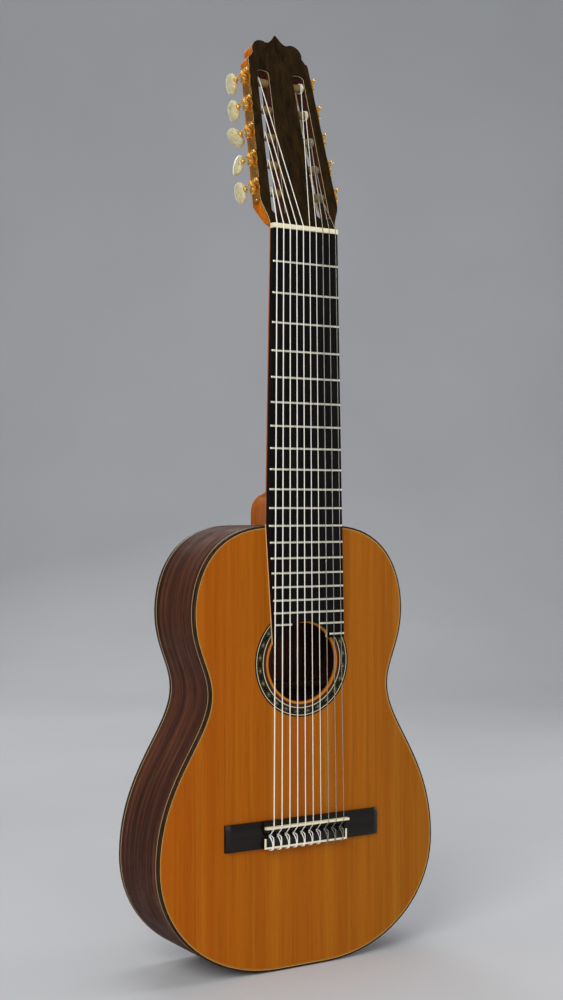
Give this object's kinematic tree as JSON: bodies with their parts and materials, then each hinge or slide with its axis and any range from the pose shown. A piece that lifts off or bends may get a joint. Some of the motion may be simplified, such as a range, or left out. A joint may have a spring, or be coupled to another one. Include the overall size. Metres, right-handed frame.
{
  "type": "ten-string guitar",
  "caption": "Classical guitar with a wide fretted neck, nylon and wound strings, slotted head with geared tuners and a hollow body.",
  "frame": {"origin": "on the flat tail face, in the middle of the body's depth there", "axes": "+Z from the tail to the head, +X towards the treble side, -Y the way the soundboard faces"},
  "size_m": [0.356, 0.1167, 1.0447],
  "materials": {
    "cedar_top": "glossy clear lacquer over vertical cedar grain",
    "rosewood": "glossy lacquer over dark streaked grain",
    "rosewood_edging": "glossy lacquer with thin light lines",
    "neck_cedar": "glossy lacquer",
    "spruce": "bare sanded",
    "ebony": "satin, oiled, with bright metal frets",
    "bone": "polished bone",
    "rosette_mosaic": "wood mosaic rings under lacquer",
    "gilt_brass": "polished, engraved",
    "pearl_plastic": "pearlescent",
    "roller_ivory": "satin, with a brass gear",
    "silver_wound": "finely wound wire",
    "clear_nylon": "clear, glossy"
  },
  "bodies": {
    "body": {"soundboard": "cedar_top", "rosette": "rosette_mosaic", "back_plate": "rosewood", "rib_bass": "rosewood", "rib_treble": "rosewood", "front_binding": "rosewood_edging", "back_binding": "rosewood_edging", "soundboard_bracing": "spruce", "back_bracing": "spruce", "tail_block": "neck_cedar", "neck": "neck_cedar", "fingerboard": "ebony", "nut": "bone", "headstock": "neck_cedar", "head_veneer": "rosewood", "tuner_plate_bass": "gilt_brass", "tuner_plate_treble": "gilt_brass", "bridge": "rosewood", "tie_block_inlay": "bone", "saddle": "bone", "string_1": "clear_nylon", "string_2": "clear_nylon", "string_3": "clear_nylon", "string_4": "silver_wound", "string_5": "silver_wound", "string_6": "silver_wound", "string_7": "silver_wound", "string_8": "silver_wound", "string_9": "silver_wound", "string_10": "silver_wound"},
    "key_bass_1": {"worm_bass_1": "gilt_brass", "button_bass_1": "pearl_plastic"},
    "roller_body_bass_1": {"roller_bass_1": "roller_ivory"},
    "key_bass_2": {"worm_bass_2": "gilt_brass", "button_bass_2": "pearl_plastic"},
    "roller_body_bass_2": {"roller_bass_2": "roller_ivory"},
    "key_bass_3": {"worm_bass_3": "gilt_brass", "button_bass_3": "pearl_plastic"},
    "roller_body_bass_3": {"roller_bass_3": "roller_ivory"},
    "key_bass_4": {"worm_bass_4": "gilt_brass", "button_bass_4": "pearl_plastic"},
    "roller_body_bass_4": {"roller_bass_4": "roller_ivory"},
    "key_bass_5": {"worm_bass_5": "gilt_brass", "button_bass_5": "pearl_plastic"},
    "roller_body_bass_5": {"roller_bass_5": "roller_ivory"},
    "key_treble_1": {"worm_treble_1": "gilt_brass", "button_treble_1": "pearl_plastic"},
    "roller_body_treble_1": {"roller_treble_1": "roller_ivory"},
    "key_treble_2": {"worm_treble_2": "gilt_brass", "button_treble_2": "pearl_plastic"},
    "roller_body_treble_2": {"roller_treble_2": "roller_ivory"},
    "key_treble_3": {"worm_treble_3": "gilt_brass", "button_treble_3": "pearl_plastic"},
    "roller_body_treble_3": {"roller_treble_3": "roller_ivory"},
    "key_treble_4": {"worm_treble_4": "gilt_brass", "button_treble_4": "pearl_plastic"},
    "roller_body_treble_4": {"roller_treble_4": "roller_ivory"},
    "key_treble_5": {"worm_treble_5": "gilt_brass", "button_treble_5": "pearl_plastic"},
    "roller_body_treble_5": {"roller_treble_5": "roller_ivory"}
  },
  "joints": [
    {"name": "turn_key_bass_1", "type": "hinge", "parent": "body", "child": "key_bass_1", "pos_m": [-0.05319, -0.0328, 0.86273], "axis": [0, 0.9659, -0.2588], "continuous": true},
    {"name": "turn_roller_bass_1", "type": "hinge", "parent": "body", "child": "roller_body_bass_1", "pos_m": [-0.04897, -0.03481, 0.85522], "axis": [-0.9981, 0.0161, 0.0603], "continuous": true},
    {"name": "turn_key_bass_2", "type": "hinge", "parent": "body", "child": "key_bass_2", "pos_m": [-0.05107, -0.024, 0.89557], "axis": [0, 0.9659, -0.2588], "continuous": true},
    {"name": "turn_roller_bass_2", "type": "hinge", "parent": "body", "child": "roller_body_bass_2", "pos_m": [-0.04684, -0.02601, 0.88806], "axis": [-0.9981, 0.0161, 0.0603], "continuous": true},
    {"name": "turn_key_bass_3", "type": "hinge", "parent": "body", "child": "key_bass_3", "pos_m": [-0.04894, -0.0152, 0.92841], "axis": [0, 0.9659, -0.2588], "continuous": true},
    {"name": "turn_roller_bass_3", "type": "hinge", "parent": "body", "child": "roller_body_bass_3", "pos_m": [-0.04472, -0.01721, 0.9209], "axis": [-0.9981, 0.0161, 0.0603], "continuous": true},
    {"name": "turn_key_bass_4", "type": "hinge", "parent": "body", "child": "key_bass_4", "pos_m": [-0.04682, -0.0064, 0.96125], "axis": [0, 0.9659, -0.2588], "continuous": true},
    {"name": "turn_roller_bass_4", "type": "hinge", "parent": "body", "child": "roller_body_bass_4", "pos_m": [-0.04259, -0.00841, 0.95375], "axis": [-0.9981, 0.0161, 0.0603], "continuous": true},
    {"name": "turn_key_bass_5", "type": "hinge", "parent": "body", "child": "key_bass_5", "pos_m": [-0.04469, 0.0024, 0.99409], "axis": [0, 0.9659, -0.2588], "continuous": true},
    {"name": "turn_roller_bass_5", "type": "hinge", "parent": "body", "child": "roller_body_bass_5", "pos_m": [-0.04047, 0.00039, 0.98659], "axis": [-0.9981, 0.0161, 0.0603], "continuous": true},
    {"name": "turn_key_treble_1", "type": "hinge", "parent": "body", "child": "key_treble_1", "pos_m": [0.05319, -0.0328, 0.86273], "axis": [0, 0.9659, -0.2588], "continuous": true},
    {"name": "turn_roller_treble_1", "type": "hinge", "parent": "body", "child": "roller_body_treble_1", "pos_m": [0.04897, -0.03481, 0.85522], "axis": [0.9981, 0.0161, 0.0603], "continuous": true},
    {"name": "turn_key_treble_2", "type": "hinge", "parent": "body", "child": "key_treble_2", "pos_m": [0.05107, -0.024, 0.89557], "axis": [0, 0.9659, -0.2588], "continuous": true},
    {"name": "turn_roller_treble_2", "type": "hinge", "parent": "body", "child": "roller_body_treble_2", "pos_m": [0.04684, -0.02601, 0.88806], "axis": [0.9981, 0.0161, 0.0603], "continuous": true},
    {"name": "turn_key_treble_3", "type": "hinge", "parent": "body", "child": "key_treble_3", "pos_m": [0.04894, -0.0152, 0.92841], "axis": [0, 0.9659, -0.2588], "continuous": true},
    {"name": "turn_roller_treble_3", "type": "hinge", "parent": "body", "child": "roller_body_treble_3", "pos_m": [0.04472, -0.01721, 0.9209], "axis": [0.9981, 0.0161, 0.0603], "continuous": true},
    {"name": "turn_key_treble_4", "type": "hinge", "parent": "body", "child": "key_treble_4", "pos_m": [0.04682, -0.0064, 0.96125], "axis": [0, 0.9659, -0.2588], "continuous": true},
    {"name": "turn_roller_treble_4", "type": "hinge", "parent": "body", "child": "roller_body_treble_4", "pos_m": [0.04259, -0.00841, 0.95375], "axis": [0.9981, 0.0161, 0.0603], "continuous": true},
    {"name": "turn_key_treble_5", "type": "hinge", "parent": "body", "child": "key_treble_5", "pos_m": [0.04469, 0.0024, 0.99409], "axis": [0, 0.9659, -0.2588], "continuous": true},
    {"name": "turn_roller_treble_5", "type": "hinge", "parent": "body", "child": "roller_body_treble_5", "pos_m": [0.04047, 0.00039, 0.98659], "axis": [0.9981, 0.0161, 0.0603], "continuous": true}
  ],
  "couplings": [
    {"joint": "turn_roller_bass_1", "follows": "turn_key_bass_1", "ratio": -0.071429},
    {"joint": "turn_roller_bass_2", "follows": "turn_key_bass_2", "ratio": -0.071429},
    {"joint": "turn_roller_bass_3", "follows": "turn_key_bass_3", "ratio": -0.071429},
    {"joint": "turn_roller_bass_4", "follows": "turn_key_bass_4", "ratio": -0.071429},
    {"joint": "turn_roller_bass_5", "follows": "turn_key_bass_5", "ratio": -0.071429},
    {"joint": "turn_roller_treble_1", "follows": "turn_key_treble_1", "ratio": 0.071429},
    {"joint": "turn_roller_treble_2", "follows": "turn_key_treble_2", "ratio": 0.071429},
    {"joint": "turn_roller_treble_3", "follows": "turn_key_treble_3", "ratio": 0.071429},
    {"joint": "turn_roller_treble_4", "follows": "turn_key_treble_4", "ratio": 0.071429},
    {"joint": "turn_roller_treble_5", "follows": "turn_key_treble_5", "ratio": 0.071429}
  ]
}
